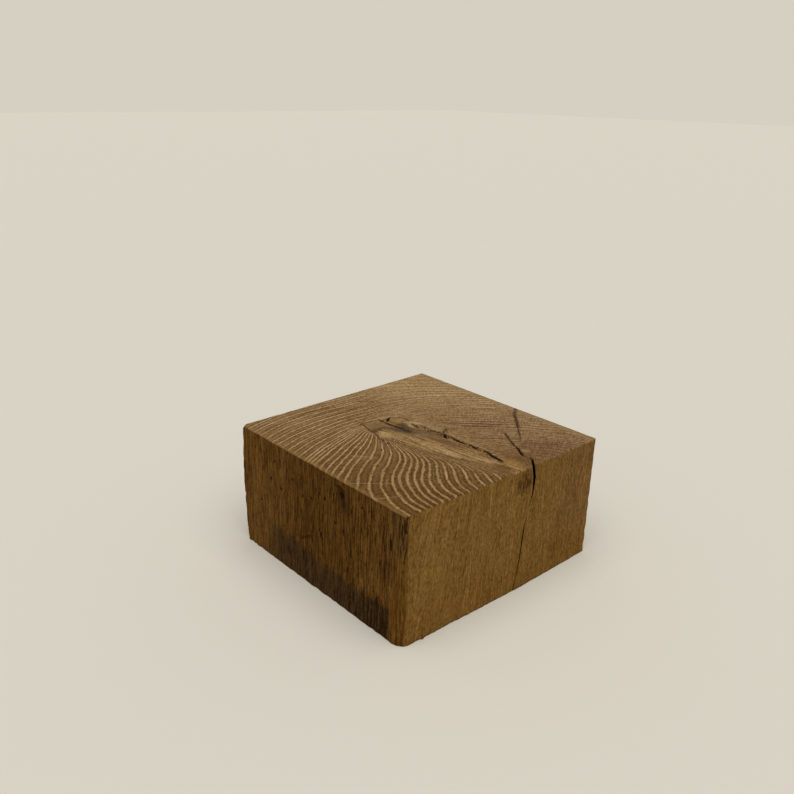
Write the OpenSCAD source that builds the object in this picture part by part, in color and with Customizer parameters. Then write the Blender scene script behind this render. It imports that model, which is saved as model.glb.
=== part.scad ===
// Oak block, sawn across the grain from a squared beam and standing on its end grain.
// The heart of the log lies in the front face. A branch grew back from it, and its knot,
// the split beside it and the drying checks are still open in the top face.

/* [Block] */
// Width of the block, left to right
block_w = 122; // [100:1:200]
// Depth of the block where it is deepest, front to back
block_d = 122.5; // [110:0.5:200]
// Height of the block, along the grain
block_h = 62; // [50:1:120]

/* [Saw cuts] */
// Place where the two halves of the front face meet in a low ridge, to the right of the middle
ridge_x = 10; // [0:1:25]
// Turn of the front face to the left of the ridge, in degrees
front_skew_left = 1.6; // [0:0.1:3]
// Turn of the front face to the right of the ridge, the other way, in degrees
front_skew_right = 0.7; // [0:0.1:3]
// Lean of the front face, which stands its foot back, in degrees
front_lean = 0.3; // [0:0.1:3]
// Lean of the left face, which stands its head in, in degrees
left_lean = 0.9; // [0:0.1:3]
// Turn of the back cut, the other way, in degrees
back_skew = 0.8; // [0:0.1:2]
// Height at which the bowed back face stands furthest out
back_full_z = 42; // [20:1:45]
// How far the foot of the back face stands in from there
back_foot_in = 3; // [1:0.5:6]

/* [Edges] */
// Radius of the worn front edge at its foot
edge_foot_r = 4.5; // [2:0.5:12]
// Radius of the front edge at its head, where it is nearly sharp
edge_head_r = 0.6; // [0.3:0.1:2]
// Size of the chip broken from the top back corner on the left
chip_size = 1.5; // [1:0.5:8]

/* [Heart split] */
// Place of the split's mouth on the front face, to the right of the middle
split_x = 15.5; // [8:0.5:25]
// Width of the split at its mouth
split_w = 1.4; // [0.6:0.1:3]
// How far the split runs into the block
split_reach = 9; // [5:1:15]
// Direction of the split in plan, from the width of the block, in degrees
split_turn = 48; // [35:1:65]

/* [Knot] */
// Place of the heart in the front face, to the right of the middle
heart_x = 7; // [0:1:12]
// Depth of the gaps along the knot
shake_depth = 11; // [3:1:25]
// Width of the widest gap along the knot
shake_w = 1.8; // [0.6:0.1:3]

/* [Checks] */
// Depth of the check that runs on from the split
follow_depth = 16; // [4:1:30]
// Width of that check
follow_w = 1.0; // [0.4:0.1:2]
// Width of the check that runs in from near the right-hand face
side_w = 1.1; // [0.4:0.1:2]
// Depth of that check, which dust has nearly filled
side_depth = 2; // [1:0.5:10]
// Depth of the slits in the weathered left face
slit_depth = 2.5; // [1:0.5:6]
// Width of the slits in the weathered left face
slit_w = 0.9; // [0.4:0.1:2]

/* [Hidden] */

// How far a cutter stands out of the face that it cuts
past = 2;
// Segments of a full circle on the worn edge, and on the bowed back
edge_fn = 48;
bow_fn = 720;

heart = [heart_x, -block_d / 2];
back_r = (back_full_z * back_full_z + back_foot_in * back_foot_in) / (2 * back_foot_in);

// X of the left face at a height
function left_x(z) = -block_w / 2 + z * tan(left_lean);

// Y of the front face at a place along the width and a height
function front_y(x, z) =
    -block_d / 2
    + max((ridge_x - x) * tan(front_skew_left), (x - ridge_x) * tan(front_skew_right))
    + (block_h - z) * tan(front_lean);

// Y of the bowed back face in the same way
function back_y(x, z) =
    block_d / 2 - (block_w / 2 - x) * tan(back_skew)
    - back_r + sqrt(back_r * back_r - (z - back_full_z) * (z - back_full_z));

// The split from below the foot to above the top: share of the height, step sideways and share of its width
split_path = [
    [-0.04, -9.2, 0.40],
    [0.10, -7.6, 0.25],
    [0.23, -6.0, 0.42],
    [0.38, -5.0, 0.48],
    [0.52, -4.2, 0.42],
    [0.56, -3.6, 0.24],
    [0.64, -2.8, 0.12],
    [0.70, -1.5, 0.18],
    [0.75, -0.2, 0.33],
    [0.82, 0.2, 0.62],
    [0.90, 0.5, 0.88],
    [1.04, -1.6, 1.00]
];
// The split in plan: share of its reach, step to the side and share of the width there
split_plan = [
    [0.00, 0.0, 1.00],
    [0.35, 0.2, 0.80],
    [0.60, -0.3, 0.70],
    [0.85, 0.4, 0.45],
    [1.00, 0.2, 0.00]
];
// The check that runs on from the split: steps from the split's mouth and share of the width
follow_route = [
    [2.5, 9.2, 0.0],
    [4.0, 11.4, 0.9],
    [5.2, 13.2, 1.0],
    [7.5, 16.4, 0.7],
    [9.0, 20.2, 0.5],
    [12.1, 25.8, 0.3],
    [15.1, 30.8, 0.0]
];
// The check from the right-hand face: step in from that face, step from the middle and share of the width
side_route = [
    [-1, -9.8, 0.0],
    [7, -15.6, 1.0],
    [12, -21.2, 0.9],
    [19, -28.4, 0.7],
    [25, -34.6, 0.5],
    [31, -40.6, 0.0]
];
// Gaps along the knot: place from the heart, length, share of the widest gap and turn from the depth
shake_gaps = [
    [[0.3, 17.5], 13.0, 0.80, -11],
    [[1.0, 30.5], 5.5, 0.70, -20],
    [[0.4, 40.0], 8.5, 0.95, -5],
    [[-0.6, 47.4], 5.5, 1.00, -32],
    [[0.0, 54.5], 5.0, 0.50, 0],
    [[-3.4, 65.0], 5.0, 0.45, 5],
    [[-11.0, 75.0], 14.0, 0.50, 4],
    [[-8.0, 80.4], 5.0, 0.80, -50]
];
// Shape of one gap: share of its length, step to the side and width, as shares of its width
gap_plan = [
    [-0.50, 0.0, 0.0],
    [-0.25, 0.2, 0.7],
    [0.00, -0.1, 1.0],
    [0.30, 0.2, 0.6],
    [0.50, 0.0, 0.0]
];
// Slits in the left face: distance from the front edge, height of the middle and length
left_slits = [
    [1.8, 54, 11],
    [8.2, 47, 12],
    [13.2, 46, 10]
];

function turned(p, angle) = [p[0] * cos(angle) - p[1] * sin(angle), p[0] * sin(angle) + p[1] * cos(angle)];

// A route of [x, y, width] as an outline that ends in a point; across points to the right of the way it runs
function outline(route, across) =
    let (last = len(route) - 1)
    concat(
        [for (i = [0:last - 1]) [route[i][0], route[i][1]] + across * route[i][2] / 2],
        [[route[last][0], route[last][1]]],
        [for (i = [last - 1:-1:0]) [route[i][0], route[i][1]] - across * route[i][2] / 2]
    );

// A solid through flat outlines, each [height, outline], listed from the lowest up
module stack(levels) {
    n = len(levels[0][1]);
    last = len(levels) - 1;
    polyhedron(
        points = [for (level = levels) for (p = level[1]) [p[0], p[1], level[0]]],
        faces = concat(
            [[for (i = [0:n - 1]) i]],
            [for (k = [0:last - 1]) for (i = [0:n - 1])
                [k * n + i, (k + 1) * n + i, (k + 1) * n + (i + 1) % n]],
            [for (k = [0:last - 1]) for (i = [0:n - 1])
                [k * n + i, (k + 1) * n + (i + 1) % n, k * n + (i + 1) % n]],
            [[for (i = [n - 1:-1:0]) last * n + i]]
        ),
        convexity = 6
    );
}

// A check that opens upwards at a height: a wedge along a route, closed to a point at both of its ends
module check(route, across, top_z, depth) {
    k = len(route) - 2;
    mouth_z = top_z + past;
    widen = (depth + past) / depth / 2;
    inner = [for (i = [1:k]) route[i]];
    points = concat(
        [for (p = [route[0], route[k + 1]]) [p[0], p[1], mouth_z]],
        [for (p = inner) [p[0] + across[0] * p[2] * widen, p[1] + across[1] * p[2] * widen, mouth_z]],
        [for (p = inner) [p[0] - across[0] * p[2] * widen, p[1] - across[1] * p[2] * widen, mouth_z]],
        [for (p = inner) [p[0], p[1], top_z - depth]]
    );
    // Places in the list of points: two ends, then the right side, the left side and the foot
    right = [for (i = [0:k - 1]) 2 + i];
    left = [for (i = [0:k - 1]) 2 + k + i];
    foot = [for (i = [0:k - 1]) 2 + 2 * k + i];
    polyhedron(
        points = points,
        faces = concat(
            [concat([0], left, [1], [for (i = [k - 1:-1:0]) right[i]])],
            [[0, right[0], foot[0]], [right[k - 1], 1, foot[k - 1]]],
            [[0, foot[0], left[0]], [left[k - 1], foot[k - 1], 1]],
            [for (i = [0:k - 2]) [foot[i], right[i], right[i + 1]]],
            [for (i = [0:k - 2]) [foot[i], right[i + 1], foot[i + 1]]],
            [for (i = [0:k - 2]) [foot[i], left[i + 1], left[i]]],
            [for (i = [0:k - 2]) [foot[i], foot[i + 1], left[i + 1]]]
        ),
        convexity = 6
    );
}

// One torn gap, centred on the origin and running along Y
module gap(length, width, top_z, depth) {
    route = [for (p = gap_plan) [p[1] * width, p[0] * length, p[2] * width]];
    check(route, [1, 0], top_z, depth);
}

module heart_split() {
    across = turned([1, 0], split_turn - 90);
    // One level of the split, from outside the front face to its tip
    function split_level(share, step, opening) =
        let (
            z = share * block_h,
            x = split_x + step,
            mouth = [x, front_y(x, z)],
            outside = mouth + turned([-past, 0], split_turn),
            inside = [for (p = split_plan)
                let (q = mouth + turned([p[0] * split_reach, p[1]], split_turn))
                    [q[0], q[1], p[2] * opening * split_w]]
        )
        [z, outline(concat([[outside[0], outside[1], opening * split_w]], inside), across)];
    stack([for (p = split_path) split_level(p[0], p[1], p[2])]);
}

module follow_check() {
    mouth = [split_x, front_y(split_x, block_h)];
    route = [for (p = follow_route) [mouth[0] + p[0], mouth[1] + p[1], p[2] * follow_w]];
    check(route, turned([1, 0], split_turn - 78), block_h, follow_depth);
}

module side_check() {
    route = [for (p = side_route) [block_w / 2 - p[0], p[1], p[2] * side_w]];
    check(route, turned([-1, 0], -48), block_h, side_depth);
}

module knot_shake() {
    for (g = shake_gaps)
        translate([heart[0] + g[0][0], heart[1] + g[0][1], 0])
            rotate([0, 0, g[3]])
                gap(g[1], g[2] * shake_w, block_h, shake_depth);
}

module face_slits() {
    for (s = left_slits)
        translate([left_x(s[1]), front_y(left_x(s[1]), s[1]) + s[0], s[1]])
            rotate([90, 0, -90])
                gap(s[2], slit_w, 0, slit_depth);
}

// What wear has taken from the front edge: a round that grows from the head to the foot
module edge_wear() {
    foot = [left_x(0), front_y(left_x(0), 0)];
    head = [left_x(block_h), front_y(left_x(block_h), block_h)];
    difference() {
        hull() {
            translate([foot[0] - past, foot[1] - past, -past])
                cube([edge_foot_r + past, edge_foot_r + past, past]);
            translate([head[0] - past, head[1] - past, block_h])
                cube([edge_head_r + past, edge_head_r + past, past]);
        }
        hull() {
            translate([foot[0] + edge_foot_r, foot[1] + edge_foot_r, -past])
                cylinder(r = edge_foot_r, h = past, $fn = edge_fn);
            translate([head[0] + edge_head_r, head[1] + edge_head_r, block_h])
                cylinder(r = edge_head_r, h = past, $fn = edge_fn);
        }
    }
}

// A slanting cut that takes the same length from each of the three edges of the corner
module corner_chip() {
    translate([left_x(block_h), back_y(left_x(block_h), block_h), block_h])
        rotate([0, -atan(1 / sqrt(2)), 135])
            translate([-chip_size / sqrt(3), -3 * chip_size, -3 * chip_size])
                cube(6 * chip_size);
}

// All that lies behind one half of the front face, which turns about the ridge
module front_half_space(skew) {
    translate([ridge_x, -block_d / 2, block_h])
        rotate([front_lean, 0, skew])
            translate([-2 * block_w, 0, -2 * block_h])
                cube([4 * block_w, 3 * block_d, 4 * block_h]);
}

module left_half_space() {
    translate([-block_w / 2, 0, 0])
        rotate([0, left_lean, 0])
            translate([0, -2 * block_d, -2 * block_h])
                cube([3 * block_w, 4 * block_d, 4 * block_h]);
}

module back_half_space() {
    translate([block_w / 2, block_d / 2, back_full_z])
        rotate([0, 0, back_skew])
            translate([0, -back_r, 0])
                rotate([0, 90, 0])
                    cylinder(r = back_r, h = 4 * block_w, center = true, $fn = bow_fn);
}

module sawn_body() {
    intersection() {
        translate([-block_w / 2, -block_d, 0])
            cube([block_w, 2 * block_d, block_h]);
        front_half_space(-front_skew_left);
        front_half_space(front_skew_right);
        left_half_space();
        back_half_space();
    }
}

module block() {
    color("#8c6a3c")
        difference() {
            sawn_body();
            edge_wear();
            corner_chip();
            heart_split();
            follow_check();
            side_check();
            knot_shake();
            face_slits();
        }
}

block();
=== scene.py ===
# %% [markdown]
# A block of old oak, sawn off the end of a squared beam and stood on its end grain.
# The heart of the log lies in the front face, and a branch once grew from it, so its long knot
# runs back over the top and pushes the yearly rings aside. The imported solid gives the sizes,
# the cracks and the lean of the faces. This lesson gives it weathered surfaces and its wood.

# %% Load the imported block
import math

import bmesh
import bpy
from mathutils import Matrix, Vector, noise
from mathutils.bvhtree import BVHTree


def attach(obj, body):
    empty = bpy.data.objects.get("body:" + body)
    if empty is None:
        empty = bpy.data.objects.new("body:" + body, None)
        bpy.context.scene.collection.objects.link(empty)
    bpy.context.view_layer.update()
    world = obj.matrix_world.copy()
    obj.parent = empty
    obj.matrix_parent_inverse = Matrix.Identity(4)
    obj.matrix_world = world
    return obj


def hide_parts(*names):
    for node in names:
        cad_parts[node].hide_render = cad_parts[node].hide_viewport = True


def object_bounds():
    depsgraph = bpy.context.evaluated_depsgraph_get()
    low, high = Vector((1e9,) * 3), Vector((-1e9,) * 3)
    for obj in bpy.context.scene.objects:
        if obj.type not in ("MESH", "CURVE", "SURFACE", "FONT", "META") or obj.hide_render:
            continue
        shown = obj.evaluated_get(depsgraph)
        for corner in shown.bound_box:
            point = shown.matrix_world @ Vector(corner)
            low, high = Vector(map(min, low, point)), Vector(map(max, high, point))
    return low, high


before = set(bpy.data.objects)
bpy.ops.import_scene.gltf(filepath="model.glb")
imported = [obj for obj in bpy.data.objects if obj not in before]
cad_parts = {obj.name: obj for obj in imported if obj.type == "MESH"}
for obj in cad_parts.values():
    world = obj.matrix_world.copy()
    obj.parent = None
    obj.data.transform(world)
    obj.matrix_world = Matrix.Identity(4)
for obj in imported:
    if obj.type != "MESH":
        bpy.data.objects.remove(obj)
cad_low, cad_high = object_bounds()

MM = 0.001
LOW = cad_low / MM
HIGH = cad_high / MM
print("packed block, mm:", [round(side, 1) for side in HIGH - LOW])

# %% [markdown]
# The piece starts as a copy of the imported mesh, because its planes and cracks are already right.
# That mesh has only the corners that its planes need, so there is nothing on a face to move.
# A remesh would blur the thin cracks. Slicing every face by rows of planes leaves the cracks
# sharp, keeps the mesh closed, and gives a point for each small patch of wood. Fibres run up
# the block, so the rows across them are closer than the rows along them.

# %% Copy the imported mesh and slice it
ACROSS_FIBRES = 0.8
ALONG_FIBRES = 1.6
WELD = 1e-6


def slice_rows(body, axis, pitch):
    """Cuts all faces by planes that stand square to one axis, evenly spaced at about the pitch."""
    rows = round((HIGH[axis] - LOW[axis]) / pitch)
    across = Vector((0, 0, 0))
    across[axis] = 1
    for row in range(rows):
        place = Vector((0, 0, 0))
        place[axis] = (LOW[axis] + (row + 0.5) * (HIGH[axis] - LOW[axis]) / rows) * MM
        everything = body.verts[:] + body.edges[:] + body.faces[:]
        bmesh.ops.bisect_plane(body, geom=everything, dist=WELD, plane_co=place, plane_no=across)


body = bmesh.new()
body.from_mesh(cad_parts["block"].data)
bmesh.ops.remove_doubles(body, verts=body.verts, dist=WELD)
hull = body.copy()
made = bmesh.ops.convex_hull(hull, input=hull.verts)
loose = {v for v in made["geom_interior"] + made["geom_unused"] if isinstance(v, bmesh.types.BMVert)}
bmesh.ops.delete(hull, geom=list(loose), context="VERTS")
plain_outside = BVHTree.FromBMesh(hull)
hull.free()

for axis, pitch in ((2, ALONG_FIBRES), (0, ACROSS_FIBRES), (1, ACROSS_FIBRES)):
    slice_rows(body, axis, pitch)
print("sliced block:", len(body.faces), "faces,", len(body.verts), "points")

# %% [markdown]
# Nobody has planed the sides of this block. The left one has weathered: soft wood has worn back
# between the hard fibres, and small pits are left. The other sides only show the saw. The corners
# are worn and a little splintered. Each of these is a small push, in millimetres, that fades out
# over the first few millimetres below its face, so that crack walls follow the face they open in.

# %% How far a point lies below each face
OUT = {
    "left": Vector((-1, 0, 0)),
    "right": Vector((1, 0, 0)),
    "front": Vector((0, -1, 0)),
    "back": Vector((0, 1, 0)),
    "foot": Vector((0, 0, -1)),
    "top": Vector((0, 0, 1)),
}
MIDDLE = (LOW + HIGH) / 2
# Rays towards a face start this far out, past the whole block
WELL_OUT = 2 * max(HIGH - LOW)


def below_face(p, out):
    """Depth in mm of a point, measured square to one side from the block's plain outside."""
    start = p + (MIDDLE - p).normalized() * 0.03 + out * WELL_OUT
    reach = plain_outside.ray_cast(start * MM, -out)[3]
    return 0 if reach is None else max(WELL_OUT - reach / MM, 0)


def near(depth, reach):
    """1 on a face, falling smoothly to 0 at a depth of reach."""
    t = min(max(depth / reach, 0), 1)
    return (1 - t) ** 2 * (1 + 2 * t)


def rough(p, wide, tall, seed):
    """Noise from about -1 to 1, in lumps as wide as given across the fibres and as tall along them."""
    return noise.noise(Vector((p.x / wide + seed, p.y / wide - seed, p.z / tall + 2 * seed)))


print("faces:", ", ".join(OUT))

# %% Weathering of the faces
SKIN_REACH = 4.0
# Pits on the left face: place along Y, height, half width, half height and depth
PITS = (
    (-3.1, 51.9, 0.8, 1.3, 1.0),
    (-6.7, 48.4, 0.8, 1.4, 0.9),
    (-14, 39.7, 0.9, 1.5, 0.9),
    (-19.9, 37.7, 0.8, 1.8, 0.9),
    (3.5, 44.2, 0.8, 1.3, 0.8),
    (9.5, 43.1, 0.7, 1.4, 0.8),
    (17.2, 48.5, 0.8, 1.2, 0.8),
    (21.8, 39, 0.8, 1.2, 0.8),
    (27.4, 39.6, 0.9, 1.3, 0.9),
    (32.4, 52.1, 0.9, 1.6, 0.9),
    (35.1, 42.5, 0.8, 1.3, 0.8),
    (44.4, 27.5, 0.9, 1.3, 0.8),
    (-19, 55, 2.2, 3.4, 0.9),
)


def left_relief(p):
    """Height of the weathered left face: long ridges, finer ridges between them, and pits."""
    ridges = 0.34 * rough(p, 5.5, 38, 3.1) + 0.22 * rough(p, 2.2, 16, 7.7)
    height = ridges + 0.12 * rough(p, 1.3, 7, 5.3)
    for y, z, wide, tall, deep in PITS:
        height -= deep * math.exp(-((p.y - y) / wide) ** 2 - ((p.z - z) / tall) ** 2)
    return height


def sawn_relief(p, seed):
    """Height of a sawn face: slow waves, fine fibres, and the ripple that the saw left."""
    ripple = math.sin((p.x + p.y + 0.35 * p.z) * 2.2 + 3 * rough(p, 20, 30, seed))
    return 0.12 * rough(p, 9, 45, seed) + 0.07 * rough(p, 2.4, 14, seed + 2) + 0.03 * ripple


def torn_relief(p):
    """The torn patch at the head of the front face, beside the heart split."""
    patch = math.exp(-((p.x - 9.5) / 5.5) ** 2 - ((p.z - 56) / 5.5) ** 2)
    return -patch * (0.35 + 0.45 * rough(p, 1.7, 4.5, 9.2))


def splinter(p):
    """A splinter that stands out at the foot of the front face."""
    return 0.9 * math.exp(-((p.x + 49) / 0.7) ** 2 - (p.z / 1.0) ** 2)


def face_push(p, depths):
    """Moves a point by the relief of each face that it lies near."""
    left, right, front, back, foot, top = (near(d, SKIN_REACH) for d in depths)
    push = OUT["left"] * left * left_relief(p)
    push += OUT["right"] * right * sawn_relief(p, 11.3)
    push += OUT["front"] * front * (sawn_relief(p, 4.9) + torn_relief(p) + splinter(p))
    push += OUT["back"] * back * sawn_relief(p, 17.1)
    push += OUT["top"] * top * 0.05 * rough(p, 7, 7, 21.7)
    return push


print("pits:", len(PITS))

# %% Wear of the corners
# Pairs of faces that meet at a corner, with the reach of the wear there and its depth in mm
CORNERS = (
    ("left", "top", 1.2, 0.22),
    ("front", "top", 1.0, 0.18),
    ("right", "top", 1.0, 0.10),
    ("back", "top", 1.0, 0.10),
    ("left", "foot", 1.6, 0.35),
    ("front", "foot", 1.2, 0.25),
    ("right", "foot", 1.2, 0.25),
    ("back", "foot", 1.4, 0.30),
    ("left", "back", 1.6, 0.45),
    ("left", "front", 1.4, 0.25),
    ("right", "front", 1.3, 0.30),
    ("right", "back", 1.3, 0.20),
)
FACES = list(OUT)


def corner_push(p, depths):
    """Pulls worn corners in, more where the noise says that a chip has gone."""
    push = Vector((0, 0, 0))
    for one, other, reach, deep in CORNERS:
        wear = near(depths[FACES.index(one)], reach) * near(depths[FACES.index(other)], reach)
        if wear > 0:
            chip = max(rough(p, 3.4, 3.4, 13.9), 0) + 0.45 * max(rough(p, 1.3, 1.6, 2.3), 0)
            push -= (OUT[one] + OUT[other]) * wear * deep * (0.1 + chip)
    return push


print("worn corners:", len(CORNERS))

# %% Move the points and store how deep each one lies in a crack
CRACK_FULL = 3.0
crack = body.verts.layers.float.new("crack")
furthest = 0
for v in body.verts:
    p = v.co / MM
    depths = [below_face(p, out) for out in OUT.values()]
    v[crack] = min(plain_outside.find_nearest(v.co)[3] / MM / CRACK_FULL, 1)
    push = face_push(p, depths) + corner_push(p, depths)
    furthest = max(furthest, push.length)
    v.co += push * MM
    v.co.z = max(v.co.z, 0)
print("points moved by up to", round(furthest, 2), "mm")

# %% The oak block as a piece
SHARP = math.radians(50)
mesh = bpy.data.meshes.new("oak_block")
body.to_mesh(mesh)
body.free()
mesh.shade_smooth()
mesh.set_sharp_from_angle(angle=SHARP)
oak_block = bpy.data.objects.new("oak_block", mesh)
bpy.context.scene.collection.objects.link(oak_block)
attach(oak_block, "root")
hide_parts("block")
triangles = sum(len(face.vertices) - 2 for face in mesh.polygons)
print("oak_block:", len(mesh.polygons), "faces,", triangles, "triangles")

# %% [markdown]
# The wood is one solid pattern that fills the block, so that a ring on the top goes on down the
# sides, as it does in a tree. Its nodes are written as sums: a small class wraps a socket, and
# Python's own operators on it add the Math nodes. Every other node comes from one method. Marks
# that lie in one face, such as a stain or a thread of bark, are ovals and lines on a flat map.


# %% Shader maths as Python sums
class Grain:
    """Something that changes through the wood, held as the socket that gives it."""

    def __init__(self, socket):
        self.socket = socket

    def node(self, kind, settings, sockets, out=0):
        """Adds a node: its settings first, then a value or a link for each named socket."""
        tree = self.socket.id_data
        made = tree.nodes.new(kind)
        for name, value in settings.items():
            setattr(made, name, value)
        for name, value in sockets.items():
            if isinstance(value, Grain):
                tree.links.new(value.socket, made.inputs[name])
            else:
                made.inputs[name].default_value = value
        return Grain(made.outputs[out])

    def sum(self, operation, *values):
        return self.node("ShaderNodeMath", {"operation": operation}, dict(enumerate(values)))

    def __add__(self, other):
        return self.sum("ADD", self, other)

    def __sub__(self, other):
        return self.sum("SUBTRACT", self, other)

    def __rsub__(self, other):
        return self.sum("SUBTRACT", other, self)

    def __mul__(self, other):
        return self.sum("MULTIPLY", self, other)

    def __truediv__(self, other):
        return self.sum("DIVIDE", self, other)

    def __rtruediv__(self, other):
        return self.sum("DIVIDE", other, self)

    def __pow__(self, other):
        return self.sum("POWER", self, other)

    def __abs__(self):
        return self.sum("ABSOLUTE", self)

    def __neg__(self):
        return self * -1

    __radd__ = __add__
    __rmul__ = __mul__

    def at_least(self, low):
        return self.sum("MAXIMUM", self, low)

    def at_most(self, high):
        return self.sum("MINIMUM", self, high)

    def exp(self):
        return self.sum("EXPONENT", self)

    def step(self, start, end):
        """Goes smoothly from 0 at start to 1 at end, and start may be the larger."""
        limits = {"Value": self, "From Min": start, "From Max": end}
        return self.node("ShaderNodeMapRange", {"interpolation_type": "SMOOTHSTEP"}, limits)

    def between(self, first, second):
        """A colour that goes from the first to the second as this value goes from 0 to 1."""
        sockets = {0: self, 6: first, 7: second}
        return self.node("ShaderNodeMix", {"data_type": "RGBA"}, sockets, out=2)

    def mixed(self, share, other):
        """This colour, with a share of another one laid over it."""
        return share.between(self, other)

    def browned(self, amount):
        """This colour by a factor that makes dark wood redder and light wood paler, as age does."""
        amounts = {0: amount, 1: amount ** 1.28, 2: amount ** 1.9}
        return self.moved("MULTIPLY", amount.node("ShaderNodeCombineXYZ", {}, amounts))

    def moved(self, operation, by):
        return self.node("ShaderNodeVectorMath", {"operation": operation}, {0: self, 1: by})

    def measured(self, operation, other):
        """One number from this vector and another one, such as how far apart they are."""
        return self.node("ShaderNodeVectorMath", {"operation": operation}, {0: self, 1: other}, out="Value")

    def noise(self, size, seed, detail=2.0, roughness=0.5):
        """Noise from 0 to 1 at a place, with lumps of the given size in mm."""
        place = self.moved("DIVIDE", size).moved("ADD", (seed, 1.7 * seed, -2.3 * seed))
        sockets = {"Vector": place, "Scale": 1.0, "Detail": detail, "Roughness": roughness}
        return self.node("ShaderNodeTexNoise", {}, sockets)

    def with_map(self, other):
        """A flat map whose two directions are this value and another one."""
        return self.node("ShaderNodeCombineXYZ", {}, {0: self, 1: other})

    def strayed(self, size, seed, stray):
        """This map with its lines made to wander by up to about stray, over lumps of a size."""
        sockets = {"Vector": self.moved("ADD", (seed, seed, seed)), "Scale": 1 / size, "Detail": 1.0}
        wander = self.node("ShaderNodeTexNoise", {}, sockets, out="Color")
        off = wander.moved("SUBTRACT", (0.5, 0.5, 0.5)).moved("MULTIPLY", (2 * stray, 2 * stray, 0))
        return self.moved("ADD", off)

    def oval(self, middle, reach, soft=0.6):
        """1 in the middle of a soft oval on a flat map, 0.5 near its reach and 0 outside it."""
        away = self.moved("SUBTRACT", (*middle, 0)).moved("DIVIDE", (*reach, 1))
        return away.measured("DISTANCE", (0, 0, 0)).step(1 + soft / 2, 1 - soft)

    def stroke(self, points, width, soft=0.5):
        """1 along a line that is drawn through points of a flat map, 0 beside it."""
        nearest = None
        for (start_x, start_y), (end_x, end_y) in zip(points, points[1:]):
            run = Vector((end_x - start_x, end_y - start_y, 0))
            gone = self.moved("SUBTRACT", (start_x, start_y, 0))
            share = gone.measured("DOT_PRODUCT", run / run.length_squared)
            held = share.node("ShaderNodeClamp", {}, {"Value": share})
            foot = held.node("ShaderNodeVectorMath", {"operation": "SCALE"}, {0: run, "Scale": held})
            away = gone.measured("DISTANCE", foot)
            nearest = away if nearest is None else nearest.at_most(away)
        return nearest.step(width / 2 + soft / 2, width / 2 - soft / 2)


# %% The oak material and its coordinates in millimetres
oak = bpy.data.materials.new("sawn_oak")
oak.use_nodes = True
tree = oak.node_tree
shader = tree.nodes["Principled BSDF"]
mesh.materials.append(oak)
coordinates = tree.nodes.new("ShaderNodeTexCoord")
place = Grain(coordinates.outputs["Object"]).moved("MULTIPLY", (1 / MM,) * 3)
x = place.node("ShaderNodeSeparateXYZ", {}, {0: place})
y = Grain(x.socket.node.outputs["Y"])
z = Grain(x.socket.node.outputs["Z"])
print("material:", oak.name)

# %% [markdown]
# Rings are years. In a plain log the ring number only depends on how far a point lies from the
# heart. This log bulged to the left and had a branch, so that distance is bent in three steps:
# the rings are a little flat on the left and pointed on the right, the branch pulls them out
# along its own axis, and slow noise makes them waver. The branch lies near the top of the block,
# so its pull fades towards the foot. The growth list turns the distance into years, with wide
# rings in the good decades.

# %% Distance from the heart
HEART_X, HEART_Y = 10.9, -65.65
LEFT_SQUASH, LEFT_POWER = 0.76, 2.2
RIGHT_STRETCH, RIGHT_POWER, RIGHT_START = 1.21, 1.39, 4.34

from_heart_x = x - HEART_X
from_heart_y = y - HEART_Y
ahead = from_heart_y.at_least(0) + 0.05
to_left = (-from_heart_x).at_least(0) * LEFT_SQUASH
to_right = (from_heart_x - RIGHT_START).at_least(0) * RIGHT_STRETCH
round_left = (to_left ** LEFT_POWER + ahead ** LEFT_POWER) ** (1 / LEFT_POWER)
round_right = (to_right ** RIGHT_POWER + ahead ** RIGHT_POWER) ** (1 / RIGHT_POWER)
plain_radius = round_left + round_right - ahead
print("heart, mm:", HEART_X, HEART_Y)

# %% Pull of the branch
BRANCH_TURN = math.radians(10.2)
BRANCH_PULL = 30.5
BRANCH_END, BRANCH_END_SOFT = 75.9, 7.5

along = from_heart_y * math.cos(BRANCH_TURN) - from_heart_x * math.sin(BRANCH_TURN)
across = from_heart_x * math.cos(BRANCH_TURN) + from_heart_y * math.sin(BRANCH_TURN)
on_right = across.sum("GREATER_THAN", across, 0)
core = (along * 0.114 + 6.33).at_least(0) * (1 - on_right * 0.7)
beside = (abs(across) - core).at_least(0.1)
fade = (along * 0.104 + 0.65).at_least(0.5) * (1 + on_right * 0.356)
branch_ends = 1 / (1 + ((along - BRANCH_END) / BRANCH_END_SOFT).exp())
near_top = z.step(4, 48)
pull = branch_ends * (-beside / fade).exp() * near_top * BRANCH_PULL
hump = (across - 14.4) / 32
shoulder = (-hump * hump).exp() / (1 + ((80 - along) / 8).exp()) * near_top * 7.3
half_x = x / 60
half_y = y / 60
lopsided = half_x * half_y * (half_x * 2.14 - half_y * 2.21 + 2.24) - half_y * half_y * half_y * 1.39

slow = place.noise((14, 14, 60), 4.2, detail=1)
fine = place.noise((2.2, 2.2, 40), 8.8, detail=2)
radius = plain_radius - pull + shoulder + lopsided + (slow - 0.5) * 1.4 + (fine - 0.5) * 0.9
print("nodes for the distance:", len(tree.nodes))

# %% Years of growth
# Radius in mm that the log reached, and the years that it took since the last one
GROWTH = ((16, 3), (31, 4), (40, 3), (52, 5), (68, 4), (82.5, 5), (88, 3), (110, 6), (129, 4), (160, 5))
years = 0
rate = 0
reached, last_rate = 0, 0
for ring_radius, ring_years in GROWTH:
    this_rate = ring_years / (ring_radius - reached)
    beyond = radius - reached
    years = years + beyond.at_least(0) * (this_rate - last_rate)
    rate = rate + beyond.sum("GREATER_THAN", beyond, 0) * (this_rate - last_rate)
    reached, last_rate = ring_radius, this_rate
season = years.sum("FRACT", years)
print("rings in the block:", sum(count for _, count in GROWTH))

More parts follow.
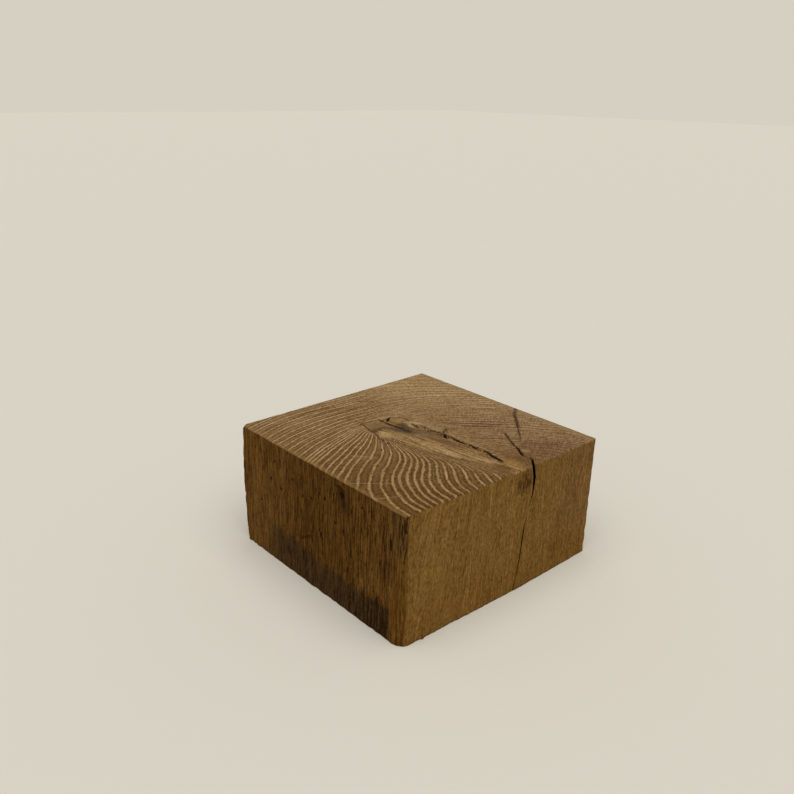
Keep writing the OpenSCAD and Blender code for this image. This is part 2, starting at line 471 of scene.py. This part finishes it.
# %% [markdown]
# In each year oak first grows a row of wide pores, which has gone pale here, and then dense brown
# wood. So one ring is a thin light line, dotted dark lines of pores beside it, and a brown band.
# A light line is as wide in a wide ring as in a narrow one, so it is measured in millimetres from
# the ring's border. Rays cross the rings square to them: from the heart on the left, and in long
# curves on the right, where the rings are pointed.

# %% Lines of one ring
since_border = season / rate
until_border = (1 - season) / rate
from_border = since_border.at_most(until_border)
patchy = place.noise((3.0, 3.0, 30), 15.1, detail=2)
dashes = place.noise((0.8, 0.8, 20), 5.7, detail=1)
pale_line = (from_border + (patchy - 0.5) * 0.7).step(0.64, 0.18) * patchy.step(0.05, 0.42)
pore_line = abs(from_border - 0.95).step(0.55, 0.15) * dashes.step(0.38, 0.56)
thin_line = (from_border + (patchy - 0.5) * 0.6).step(0.95, 0.25)
specks = place.noise((0.6, 0.6, 6), 3.3, detail=1).step(0.58, 0.7)
mottled = place.noise((1.6, 1.6, 30), 18.3, detail=3, roughness=0.7)
grit = place.noise((0.75, 0.75, 3), 11.9, detail=1)
print("nodes with the lines:", len(tree.nodes))

# %% Rays across the rings
RAY_POWER = 2 - RIGHT_POWER
curved = ahead ** RAY_POWER - (to_right + 0.01) ** RAY_POWER / RIGHT_STRETCH ** 2
ray_place = curved.node("ShaderNodeCombineXYZ", {}, {0: curved * 7, 1: radius / 9, 2: z / 30})
rays = ray_place.noise((1, 1, 1), 6.1, detail=2, roughness=0.65).step(0.44, 0.64)
bearing = from_heart_x.sum("ARCTAN2", from_heart_y, from_heart_x)
bold_place = bearing.node("ShaderNodeCombineXYZ", {}, {0: bearing * 26, 1: radius / 30, 2: z / 30})
bold_rays = bold_place.noise((1, 1, 1), 2.9, detail=1).step(0.70, 0.78)
print("nodes with the rays:", len(tree.nodes))

# %% Fine bands along the rings
band_place = radius.node("ShaderNodeCombineXYZ", {}, {0: radius * 1.1, 1: bearing * 5, 2: z / 40})
bands = band_place.noise((1, 1, 1), 7.2, detail=2, roughness=0.65)
year_wave = 0.5 - abs(season - 0.5) * 2
print("nodes with the bands:", len(tree.nodes))

# %% [markdown]
# The sawn end isn't one colour. It is dark and striped at the front left, and pale and plain at
# the back right, with brown clouds between. A slope over the top gives the change, soft ovals
# give the clouds, and noise frays their rims.

# %% Colours of the sawn end
LATE_DARK = (0.132, 0.064, 0.0185, 1)
LATE_PALE = (0.296, 0.184, 0.078, 1)
EARLY_DARK = (0.296, 0.178, 0.068, 1)
EARLY_PALE = (0.452, 0.298, 0.143, 1)
EARLY = (0.400, 0.262, 0.122, 1)
PINKISH = (0.215, 0.118, 0.062, 1)
PORE = (0.068, 0.031, 0.009, 1)
# Clouds on the top: middle, reach and how much paler the wood is there
CLOUDS = (
    ((1, 43), (24, 9), -0.22),
    ((36, -18), (15, 13), -0.26),
    ((28, -57), (24, 13), -0.80),
    ((19, -8), (9, 16), -0.10),
    ((-4, 29), (15, 7), -0.32),
    ((48, 10), (16, 20), 0.08),
    ((-45, 42), (30, 24), 0.14),
)
top_map = x.with_map(y)
cloud_map = top_map.strayed(9, 3.7, 7)
cloudy = place.noise((16, 16, 90), 12.4, detail=3)
pale = x * 0.0064 + y * 0.0050 + 0.52 + (cloudy - 0.5) * 0.45
for middle, reach, change in CLOUDS:
    pale = pale + cloud_map.oval(middle, reach, soft=1.0) * change
pale = pale.at_least(0).at_most(1.1)
end_colour = pale.between(LATE_DARK, LATE_PALE)
end_colour = end_colour.mixed(x.step(8, 40) * y.step(30, -30) * 0.35, PINKISH)
striped = (1 - x.step(-12, 26) * 0.92) * (1 - y.step(40, 60) * 0.25)
end_colour = end_colour.mixed(pale_line * striped, pale.between(EARLY_DARK, EARLY_PALE))
end_tone = mottled * 1.2 + grit * 0.9 + bands * 1.3 + year_wave * x.step(-6, 22) * 0.36 - 0.7
end_tone = end_tone + (mottled * 0.3 + grit * 0.7 + bands * 0.5 - 0.75) * x.step(-24, 4)
end_colour = end_colour.browned(end_tone.at_least(0.3))
print("end grain clouds:", len(CLOUDS))

# %% Pores, rays and the worn rim of the sawn end
GOLD = (0.245, 0.138, 0.044, 1)
OLIVE = (0.262, 0.172, 0.078, 1)
back_band = y.step(26, 38) * x.step(30, 8)
left_pores = x.step(2, -14) * 0.82
right_lines = thin_line * x.step(8, 20) * y.step(58, 14) * 0.5
pore_share = (back_band * 0.5 + left_pores).at_most(0.92)
dark_lines = (pore_line * pore_share + right_lines) * patchy.step(0.2, 0.55)
end_colour = end_colour.mixed(dark_lines, PORE)
end_colour = end_colour.mixed(specks * (0.30 - pale * 0.16), PORE)
on_right_half = x.step(4, 26)
end_colour = end_colour.mixed(rays * on_right_half * 0.36, EARLY)
end_colour = end_colour.mixed(bold_rays * 0.30 * radius.step(30, 60), EARLY)
end_colour = end_colour.mixed((x + cloudy * 4).step(-54.5, -58.5) * 0.5, GOLD)
end_colour = end_colour.mixed((x - cloudy * 2).step(55.5, 57.5) * 0.5, OLIVE)
print("nodes with the pores and the rim:", len(tree.nodes))

# %% Marks of single years and checks that have only just opened
# Lines on the top: points, width, colour and strength
CHECK_BROWN = (0.070, 0.036, 0.017, 1)
DUSTY = (0.098, 0.053, 0.026, 1)
# Painted shade in and beside the open gaps of the knot and the split, drawn as lines and specks
PAINTED_GAP_SHADE = (0.034, 0.0115, 0.0058, 1)
SCRATCH = (0.360, 0.226, 0.098, 1)
LINES = (
    (((-36, 50.5), (-25, 52), (-14, 51)), 0.9, PORE, 0.8),
    (((-27, 46), (-18, 46.8), (-8, 46)), 0.9, PORE, 0.7),
    (((-22, 41.5), (-5, 41.5), (12, 40)), 0.8, PORE, 0.55),
    (((-2, 37.2), (8, 37), (17, 35)), 0.8, PORE, 0.65),
    (((1, 50), (4, 48), (9, 43.5)), 1.3, PORE, 0.5),
    (((17, 4), (30, -8), (42, -20)), 0.9, CHECK_BROWN, 0.5),
    (((18, -1), (27, -9), (40, -23)), 1.1, CHECK_BROWN, 0.8),
    (((20, -6), (33, -19), (42, -29)), 0.9, CHECK_BROWN, 0.5),
    (((22, -10), (32, -18.5)), 1.1, CHECK_BROWN, 0.65),
    (((39, -22), (45.5, -28.5)), 0.8, SCRATCH, 0.7),
    (((15, -22.5), (22, -29), (33, -38.5)), 1.0, CHECK_BROWN, 0.6),
    (((30, -42), (42, -55)), 1.0, CHECK_BROWN, 0.55),
    (((61, -10.4), (54, -15.6), (49, -21.2), (43, -27.4)), 1.9, DUSTY, 0.9),
    (((43, -27.4), (36, -34.6), (30, -40.6)), 1.0, DUSTY, 0.65),
    # Painted shade in the head of the split
    (((18.8, -51), (20.7, -48), (23, -44.8)), 1.2, PAINTED_GAP_SHADE, 0.9),
    (((18.8, -52), (17.6, -57.5)), 0.8, CHECK_BROWN, 0.8),
    (((23, -44.8), (24.5, -41), (27.6, -35.4), (31, -30)), 0.9, CHECK_BROWN, 0.8),
    (((-60.6, -22), (-45, -34.7)), 0.6, SCRATCH, 0.4),
    (((-59.5, -40.8), (-51, -45.2)), 0.6, SCRATCH, 0.4),
)
line_map = top_map.strayed(2.2, 9.1, 0.7)
broken = dashes * 0.5 + patchy * 0.5
for points, width, colour, strength in LINES:
    drawn = line_map.stroke(points, width) * broken.step(0.28, 0.46)
    end_colour = end_colour.mixed(drawn * strength, colour)
print("drawn lines on the sawn end:", len(LINES))

# %% [markdown]
# The knot is the branch itself, cut along its length, so its grain runs along it in streaks. It
# starts at the heart, widens to the left and ends in a blunt tip with a thread of bark round it.
# Rot has stained its far end grey, and resin has left rusty spots by the gaps. Streaky noise along
# the branch makes the grain, and ovals and drawn lines lay the stains, the bark and painted shade in
# the gaps over it.

# %% Outline of the knot
KNOT_LEFT, KNOT_RIGHT_SLOPE = 14.6, 0.11
KNOT_TIP_START, KNOT_TIP = 74, 15.5
left_side = (1 - (-along.at_least(0) / 17).exp()) * KNOT_LEFT
right_side = along * KNOT_RIGHT_SLOPE - 0.4
knot_width = (left_side + right_side) / 2 + 0.1
knot_off = (across - (right_side - left_side) / 2) / knot_width
knot_tip = (along - KNOT_TIP_START).at_least(0) / KNOT_TIP
knot_rim = (knot_off * knot_off + knot_tip * knot_tip) ** 0.5
frayed_rim = knot_rim + (slow - 0.5) * 0.25 + (mottled - 0.5) * 0.3
knot = frayed_rim.step(1.06, 0.84) * near_top
print("knot, mm long:", KNOT_TIP_START + KNOT_TIP)

# %% Grain of the knot
KNOT_TAN = (0.266, 0.152, 0.056, 1)
KNOT_BROWN = (0.142, 0.072, 0.024, 1)
KNOT_LIGHT = (0.325, 0.200, 0.084, 1)
streak_place = across.node("ShaderNodeCombineXYZ", {}, {0: across, 1: along / 12, 2: z / 30})
knot_streaks = streak_place.noise((1, 1, 1), 5.5, detail=3, roughness=0.6)
knot_colour = knot_streaks.step(0.34, 0.60).between(KNOT_BROWN, KNOT_TAN).browned(mottled * 0.8 + 0.6)
end_colour = end_colour.mixed(knot * 0.85, knot_colour)
knot_map = top_map.strayed(3.5, 6.3, 2.2)
LIGHT_GRAIN = (
    (-13.5, 7), (-10, -2), (-7, -12), (-5.5, -22),
    (-3.5, -31), (0.5, -40), (3.5, -48), (7, -56),
)
light_streak = knot_map.stroke(LIGHT_GRAIN, 6.5, soft=4.0) * knot_streaks.step(0.34, 0.54)
end_colour = end_colour.mixed(light_streak * near_top * 0.75, KNOT_LIGHT)
print("points of the light grain:", len(LIGHT_GRAIN))

# %% Stains of the knot
# Ovals in and round the knot: middle, reach, colour and strength
STAINS = (
    ((2.4, -17), (3.2, 14), (0.150, 0.080, 0.031, 1), 0.8),
    ((-5, -30), (2.2, 4.5), (0.400, 0.262, 0.120, 1), 0.6),
    ((-10.2, 18.3), (5.4, 4.0), (0.188, 0.110, 0.042, 1), 0.85),
    ((-14.0, 12.8), (3.0, 1.9), (0.090, 0.049, 0.021, 1), 0.75),
    ((-10.6, 13.4), (3.2, 1.6), (0.086, 0.047, 0.020, 1), 0.75),
    ((-8.0, 11.4), (2.4, 2.4), (0.098, 0.058, 0.026, 1), 0.7),
    ((-14.2, 6.2), (3.6, 4.6), (0.360, 0.232, 0.094, 1), 0.85),
    ((-6.2, 7.6), (2.8, 4.2), (0.096, 0.060, 0.026, 1), 0.85),
    ((-2.6, 4.0), (4.6, 7.6), (0.078, 0.051, 0.023, 1), 0.9),
    ((0.6, 9.4), (2.6, 3.4), (0.066, 0.050, 0.027, 1), 0.9),
    ((-3.0, 5), (1.4, 6.5), (0.050, 0.033, 0.017, 1), 0.7),
    ((0.4, -5), (3.0, 8.0), (0.140, 0.088, 0.042, 1), 0.75),
    ((1.8, 16.2), (3.0, 2.8), (0.262, 0.148, 0.042, 1), 0.9),
    ((8.2, 15), (2.4, 5.5), (0.178, 0.102, 0.044, 1), 0.6),
    ((5.4, 6.2), (3.6, 4.4), (0.395, 0.258, 0.122, 1), 0.92),
    ((4.9, 5.6), (1.6, 3.0), (0.160, 0.090, 0.036, 1), 0.85),
    ((10.5, -3), (1.6, 6), (0.268, 0.166, 0.072, 1), 0.6),
    ((8.9, -25.8), (1.4, 1.8), (0.215, 0.100, 0.014, 1), 0.85),
    ((8.9, -34.6), (1.4, 1.8), (0.205, 0.094, 0.014, 1), 0.8),
    ((9, -54), (4.0, 6.5), (0.236, 0.128, 0.036, 1), 0.75),
    ((15, -55), (1.4, 7), (0.120, 0.062, 0.023, 1), 0.7),
    ((1.5, -54), (4.0, 6.5), (0.128, 0.064, 0.020, 1), 0.8),
    ((30, -50), (13, 9), (0.140, 0.072, 0.030, 1), 0.35),
    ((24, -48.6), (2.2, 2.6), (0.275, 0.172, 0.060, 1), 0.75),
    ((-19.8, -2.2), (1.1, 0.9), (0.040, 0.018, 0.008, 1), 0.95),
    ((-16.2, -4.8), (1.0, 0.7), (0.050, 0.024, 0.010, 1), 0.85),
    ((-15.4, -0.8), (0.7, 0.6), (0.060, 0.030, 0.013, 1), 0.7),
)
stain_map = top_map.strayed(2.6, 2.9, 1.3)
for middle, reach, colour, strength in STAINS:
    stain = stain_map.oval(middle, reach) * (patchy * 0.5 + 0.75).at_most(1)
    end_colour = end_colour.mixed(stain * near_top * strength, colour)
print("knot stains:", len(STAINS))

# %% Bark thread round the tip, and painted shade in and beside the gaps
BARK = (0.050, 0.026, 0.011, 1)
BARK_PALE = (0.330, 0.210, 0.094, 1)
PALE_STREAK = (0.430, 0.290, 0.140, 1)
# Lines in the knot: points, width, colour and strength
KNOT_LINES = (
    (((-10.5, 24.8), (-5, 23.8), (-1, 23.2), (3, 22)), 1.3, BARK_PALE, 0.8),
    (((-19.4, 1), (-19.3, 4.4), (-17, 9), (-16.8, 12), (-16.2, 15.5)), 1.0, BARK, 0.8),
    (((-16.2, 15.5), (-15.8, 18.2), (-14.4, 21.4)), 0.7, BARK, 0.85),
    (((-14.4, 21.4), (-15.8, 22.9), (-13.8, 24.3), (-11.8, 23.4)), 0.7, BARK, 0.8),
    (((-11.8, 23.4), (-8.5, 22.9), (-4.8, 21.8)), 0.6, BARK, 0.65),
    (((2, 20.8), (5, 18), (6.6, 14.6), (6, 12)), 1.1, BARK, 0.6),
    (((-4.6, 22), (-4.1, 15), (-3.5, 10), (-2.8, 5), (-2.4, 1.5)), 1.2, PAINTED_GAP_SHADE, 0.92),
    (((-4.4, 20.6), (-1, 20.8)), 1.6, PAINTED_GAP_SHADE, 0.5),
    (((-2.6, 18.3), (-0.6, 19.8), (1.4, 20.8)), 1.4, PAINTED_GAP_SHADE, 0.95),
    (((-17.5, 3), (-15, -8), (-13, -20), (-10.5, -28), (-6, -37), (-1, -46)), 1.3, KNOT_BROWN, 0.6),
    (((4.9, 8), (4.2, 3)), 0.9, PAINTED_GAP_SHADE, 0.8),
    (((8.2, -11.4), (5.8, -14.4)), 1.6, PAINTED_GAP_SHADE, 0.9),
    (((8.2, -16.6), (7.4, -20), (7.6, -24.5)), 1.4, PAINTED_GAP_SHADE, 0.85),
    (((8.6, -28), (7.8, -33)), 1.3, PAINTED_GAP_SHADE, 0.85),
    (((9.0, -37), (8.0, -43), (6.6, -49)), 1.5, PAINTED_GAP_SHADE, 0.9),
    (((10.4, -14), (9.6, -22), (10.2, -30), (10.8, -40)), 0.9, BARK_PALE, 0.5),
    (((-5.8, -20), (-4.4, -27)), 0.8, PALE_STREAK, 0.6),
    (((-6.6, -28), (-5.0, -35)), 0.9, PALE_STREAK, 0.7),
)
thread_map = top_map.strayed(1.4, 4.4, 0.75)
gap_shade = 0
for points, width, colour, strength in KNOT_LINES:
    drawn = thread_map.stroke(points, width) * broken.step(0.26, 0.42) * strength
    end_colour = end_colour.mixed(drawn * near_top, colour)
    gap_shade = gap_shade + drawn * (colour in (BARK, PAINTED_GAP_SHADE))
print("lines in the knot:", len(KNOT_LINES))

# %% Torn specks along the row of gaps, the dark ones as painted shade
# Lines of specks on the top: points, width, colour and how rare the specks are
TORN_ROWS = (
    (((9.6, 3), (8.6, -6), (9.8, -14), (9.9, -24), (10.2, -36)), 2.2, BARK_PALE, 0.53),
    (((6.0, 4), (6.2, -3), (7.2, -8), (7.4, -15)), 3.4, PAINTED_GAP_SHADE, 0.46),
    (((7.4, -15), (8, -20), (8.2, -30), (8.4, -38), (6.6, -49)), 3.0, PAINTED_GAP_SHADE, 0.50),
    (((7.6, -10), (10.5, -9), (13.6, -7.4)), 2.2, PAINTED_GAP_SHADE, 0.47),
    (((18.8, -51.8), (22.7, -45.2), (24.4, -40.7), (31.7, -29.1)), 1.9, PAINTED_GAP_SHADE, 0.50),
)
crumbs = place.noise((1.0, 1.0, 12), 19.6, detail=1)
for points, width, colour, rare in TORN_ROWS:
    drawn = thread_map.stroke(points, width, soft=1.0) * crumbs.step(rare, rare + 0.08) * 0.85
    end_colour = end_colour.mixed(drawn * near_top, colour)
    gap_shade = gap_shade + drawn * (colour == PAINTED_GAP_SHADE)
knot_tone = mottled * 0.8 + grit * 0.9 + knot_streaks * 0.8 - 1.25
end_colour = end_colour.browned((knot_tone * knot + 1).at_least(0.3))
print("rows of torn specks:", len(TORN_ROWS))

# %% [markdown]
# The long sides show the same rings from the side, as faint upright bands, and over them the
# fibres themselves: streaks far longer than they are wide, and short dark dashes where a pore was
# cut open. The front was sawn later, so it is still golden. The left side has been out in the
# weather, so it is dark, with a grey damp mark along its foot, sooty smears and a redder worn corner.

# %% Fibres of the long sides
FRONT_LEAN = 0.13
lean = y.step(-50, -57) * x.step(8, -34) * FRONT_LEAN
leaning = x.node("ShaderNodeCombineXYZ", {}, {0: x - z * lean, 1: y, 2: z})
fibre_wide = leaning.noise((5, 5, 60), 1.9, detail=2)
fibre = leaning.noise((1.0, 1.0, 13), 9.4, detail=3, roughness=0.65)
fibre_fine = leaning.noise((0.66, 0.66, 4), 2.6, detail=2, roughness=0.6)
speckle = place.noise((0.75, 0.75, 1.5), 20.3, detail=1)
cut_pores = leaning.noise((0.62, 0.62, 3.2), 14.8, detail=1).step(0.61, 0.68)
fissure = place.noise((0.75, 0.75, 6.5), 7.8, detail=2, roughness=0.6).step(0.60, 0.65)
nicks = place.noise((0.95, 0.95, 1.2), 16.6, detail=1).step(0.69, 0.74)
print("front fibres lean, degrees:", round(math.degrees(math.atan(FRONT_LEAN)), 1))

# %% Colours of the front, right and back
GOLDEN = (0.204, 0.106, 0.0240, 1)
PINKER = (0.176, 0.087, 0.0265, 1)
REDDER = (0.178, 0.082, 0.0150, 1)
TORN = (0.052, 0.021, 0.0036, 1)
front_map = x.with_map(z)
side_tone = fibre * 1.1 + fibre_fine * 0.85 + fibre_wide * 0.45 + speckle * 1.15 - 0.775
sawn_side = (x.step(14, 46) * z.step(4, 30) * 0.6).between(GOLDEN, PINKER)
sawn_side = sawn_side.mixed((z + (cloudy - 0.5) * 20).step(26, 8) * 0.45, REDDER)
sawn_side = sawn_side.browned(side_tone.at_least(0.3))
sawn_side = sawn_side.mixed(cut_pores * 0.35, TORN)
torn_map = front_map.strayed(3, 8.1, 2.5)
torn = torn_map.oval((9.5, 55), (6, 5.5)) * y.step(-40, -55)
sawn_side = sawn_side.mixed(torn * (fibre_fine.step(0.62, 0.38) * 0.7 + 0.3), TORN)
print("torn patch under the heart painted")

# %% Colours of the weathered left side
WEATHERED = (0.137, 0.0625, 0.0112, 1)
REDDISH = (0.074, 0.0275, 0.0022, 1)
DARK_RED = (0.026, 0.0088, 0.0014, 1)
DAMP = (0.064, 0.0335, 0.0115, 1)
DAMP_DARK = (0.012, 0.0055, 0.0016, 1)
# Soot, and also the painted shade in the pits
SOOT_AND_PIT_SHADE = (0.010, 0.0045, 0.002, 1)
RED_WANE = (0.185, 0.084, 0.0160, 1)
GREYED = (0.168, 0.089, 0.024, 1)
left_map = y.with_map(z)
left_streak = place.noise((0.95, 0.95, 10), 6.6, detail=3, roughness=0.65)
left_lines = place.noise((0.8, 0.8, 20), 12.7, detail=2, roughness=0.6).step(0.55, 0.63)
left_tone = fibre * 1.3 + fibre_wide * 0.8 + left_streak * 2.2 + speckle * 0.8 - 1.55
weathered = (y.step(30, 8) * y.step(-34, -20) * 0.52).between(WEATHERED, REDDISH)
weathered = weathered.browned((left_tone * (1 - y.step(-22, -36) * 0.08)).at_least(0.25))
weathered = weathered.mixed(left_lines * (0.3 + y.step(30, 8) * 0.4), DARK_RED)
weathered = weathered.mixed(fissure * (0.4 + y.step(24, -2) * 0.4), SOOT_AND_PIT_SHADE)
weathered = weathered.mixed(nicks * 0.85, SOOT_AND_PIT_SHADE)
print("nodes with the weathered side:", len(tree.nodes))

# %% Damp, soot, and painted shade in the pits of the left side
damp_top = 15 + (fibre_wide - 0.5) * 8 + (fibre - 0.5) * 8 + y.step(-8, 24) * 4
damp_reach = (y + (cloudy - 0.5) * 8).step(42, 28) * (y + (cloudy - 0.5) * 3).step(-52.5, -50)
damp = (z - damp_top).step(2.2, -2.2) * damp_reach
damp_tone = left_streak + fibre_fine * 0.7 + speckle * 0.4 + y.step(-46, -12) * 0.16 - 0.63
weathered = weathered.mixed(damp * 0.84, damp_tone.step(0.38, 0.64).between(DAMP_DARK, DAMP))
wane = y.step(-50.5, -53.5) * z.step(44, 34)
weathered = weathered.mixed(wane * 0.65, left_streak.step(0.32, 0.68).between(REDDISH, RED_WANE))
grey_strip = y.step(-49, -52) * z.step(38, 46) * 0.55
weathered = weathered.mixed(grey_strip, fibre.step(0.36, 0.64).between(SOOT_AND_PIT_SHADE, GREYED))
# Sooty marks and thin cracks: points of Y and height, width, softness and strength
SOOTY = (
    (((-15, 58.4), (-18, 58.2), (-20.4, 57.2)), 1.2, 1.2, 0.8),
    (((-18, 56), (-19.5, 53), (-21, 49)), 4.2, 4.0, 0.6),
    (((-19.4, 54.5), (-20.4, 50.5)), 1.8, 1.8, 0.6),
    (((-47.1, 53), (-46.9, 47), (-47.6, 41.5)), 0.7, 0.6, 0.85),
    (((-52, 48.5), (-51.6, 46), (-51.9, 43.5)), 0.8, 0.6, 0.85),
    (((-58.6, 60), (-59, 54.5)), 0.8, 0.6, 0.85),
    (((-60.2, 55), (-60.5, 51)), 0.8, 0.6, 0.8),
    (((-25.6, 40), (-25.2, 34), (-25.9, 28)), 0.6, 0.5, 0.7),
    (((-3.8, 32.5), (-4.4, 28.6)), 0.9, 0.6, 0.85),
    (((11, 21), (7.2, 23.7), (2.8, 25.8), (1.8, 22.7)), 0.7, 0.6, 0.7),
    (((-33, 30), (-33.4, 22)), 0.6, 0.5, 0.6),
    (((-38, 44), (-38.3, 36)), 0.5, 0.5, 0.55),
)
soot_map = left_map.strayed(2.5, 5.2, 0.5)
for points, width, soft, strength in SOOTY:
    sooty = soot_map.stroke(points, width, soft) * (left_streak.step(0.30, 0.50) * strength)
    weathered = weathered.mixed(sooty, SOOT_AND_PIT_SHADE)
# The pits are painted almost black: painted shade in their hollows
pit_shade_map = left_map.strayed(1.5, 7.3, 0.4)
for pit_y, pit_z, wide, tall, _ in PITS:
    weathered = weathered.mixed(pit_shade_map.oval((pit_y, pit_z), (wide * 0.8, tall * 0.6)) * 0.92, SOOT_AND_PIT_SHADE)
print("sooty marks and pits:", len(SOOTY) + len(PITS))

# %% Put the faces together
# Painted shade for deep inside the cracks, and the colour of the dust that fills the shake
CRACK_SHADE = (0.020, 0.0075, 0.0038, 1)
DUST = (0.190, 0.105, 0.055, 1)
on_left = x.step(-57.5, -59)
on_back = y.step(57.5, 59.5) * 0.55
side_colour = sawn_side.mixed(on_left.at_least(on_back), weathered)
on_end = (z + (fine - 0.5) * 0.5).step(61.2, 61.6)
on_foot = z.step(0.6, 0.2)
on_either_end = on_end.at_least(on_foot)
colour = side_colour.mixed(on_either_end, end_colour)
in_crack = place.node("ShaderNodeAttribute", {"attribute_name": "crack"}, {}, out="Fac")
# Deep in a crack the colour is painted shade, almost black, left of x = 30 mm; right of x = 34 mm it is the
# brown dust in the shake
crack_shade_and_dust = x.step(30, 34).between(CRACK_SHADE, DUST)
colour = colour.mixed(in_crack.step(0.02, 0.14), crack_shade_and_dust)
print("nodes with all the faces:", len(tree.nodes))

# %% Relief and sheen
end_relief = pale_line * 0.05 - specks * 0.07 - dark_lines * 0.12
end_relief = end_relief - gap_shade * 0.25 + knot_streaks * knot * 0.12
side_relief = fibre * 0.32 + fibre_fine * 0.16 - cut_pores * 0.12 - on_left * fissure * 0.4
relief = end_relief * on_either_end + side_relief * (1 - on_either_end)
bump = relief.node("ShaderNodeBump", {}, {"Height": relief, "Distance": MM, "Strength": 1.0})
sheen = 0.86 - pale * 0.05 - fibre_fine * 0.1
for socket, value in (("Base Color", colour), ("Roughness", sheen), ("Normal", bump)):
    tree.links.new(value.socket, shader.inputs[socket])
shader.inputs["Specular IOR Level"].default_value = 0.03
print("oak nodes:", len(tree.nodes))

# %% [markdown]
# The floor is a plain pale sheet that runs out far behind the block. Past it the world shows the
# same pale colour to the camera, so its edge hardly shows, and lights the block only softly.

# %% Floor and world
FLOOR_COLOUR = (0.67, 0.63, 0.535, 1)
FLOOR_HALF = 6.0
floor_mesh = bpy.data.meshes.new("floor")
corners = [(sx * FLOOR_HALF, sy * FLOOR_HALF, 0) for sx, sy in ((-1, -1), (1, -1), (1, 1), (-1, 1))]
floor_mesh.from_pydata(corners, [], [(0, 1, 2, 3)])
floor = bpy.data.objects.new("floor", floor_mesh)
bpy.context.scene.collection.objects.link(floor)
paper = bpy.data.materials.new("pale_floor")
paper.use_nodes = True
paper.node_tree.nodes["Principled BSDF"].inputs["Base Color"].default_value = FLOOR_COLOUR
paper.node_tree.nodes["Principled BSDF"].inputs["Roughness"].default_value = 0.95
floor_mesh.materials.append(paper)

FILL = 0.34
world = bpy.data.worlds.new("studio")
bpy.context.scene.world = world
world.use_nodes = True
light_path = Grain(world.node_tree.nodes.new("ShaderNodeLightPath").outputs["Is Camera Ray"])
ray_kinds = light_path.socket.node.outputs
seen = light_path + Grain(ray_kinds["Is Glossy Ray"]) + Grain(ray_kinds["Is Transmission Ray"])
shown = seen.between((FILL, FILL, FILL, 1), FLOOR_COLOUR)
world.node_tree.links.new(shown.socket, world.node_tree.nodes["Background"].inputs["Color"])
print("floor, m wide:", 2 * FLOOR_HALF)

# %% Soft light from above, a little to the front left
LAMP_FROM = Vector((-0.22, -0.30, 1))
LAMP_LEVEL = 2.27
lamp_data = bpy.data.lights.new("soft_top_light", "SUN")
lamp_data.energy = LAMP_LEVEL
lamp_data.angle = math.radians(70)
lamp = bpy.data.objects.new("soft_top_light", lamp_data)
lamp.rotation_mode = "QUATERNION"
lamp.rotation_quaternion = LAMP_FROM.to_track_quat("Z", "Y")
bpy.context.scene.collection.objects.link(lamp)
print("soft light level:", LAMP_LEVEL)

# %% [markdown]
# The camera stands in front and to the left, above the block, and tips down to it. Its turn, tip
# and small roll come from the corners of the block as the photograph shows them.

# %% Camera
CAMERA_AT = Vector((-0.2499, -0.2646, 0.2172))
YAW, PITCH, ROLL = (math.radians(angle) for angle in (48.106, 20.736, 1.108))
LENS = 37.18
SENSOR = 36.0
looks = Vector((math.cos(PITCH) * math.cos(YAW), math.cos(PITCH) * math.sin(YAW), -math.sin(PITCH)))
right = looks.cross(Vector((0, 0, 1))).normalized()
up = right.cross(looks)
turned_right = right * math.cos(ROLL) + up * math.sin(ROLL)
turned_up = up * math.cos(ROLL) - right * math.sin(ROLL)
camera_data = bpy.data.cameras.new("camera")
camera_data.lens = LENS
camera_data.sensor_width = SENSOR
camera_data.clip_start = 0.01
camera = bpy.data.objects.new("camera", camera_data)
turn = Matrix((turned_right, turned_up, -looks)).transposed().to_4x4()
camera.matrix_world = Matrix.Translation(CAMERA_AT) @ turn
bpy.context.scene.collection.objects.link(camera)
bpy.context.scene.camera = camera
bpy.context.scene.view_settings.view_transform = "Standard"
print("camera at", [round(c, 4) for c in CAMERA_AT])
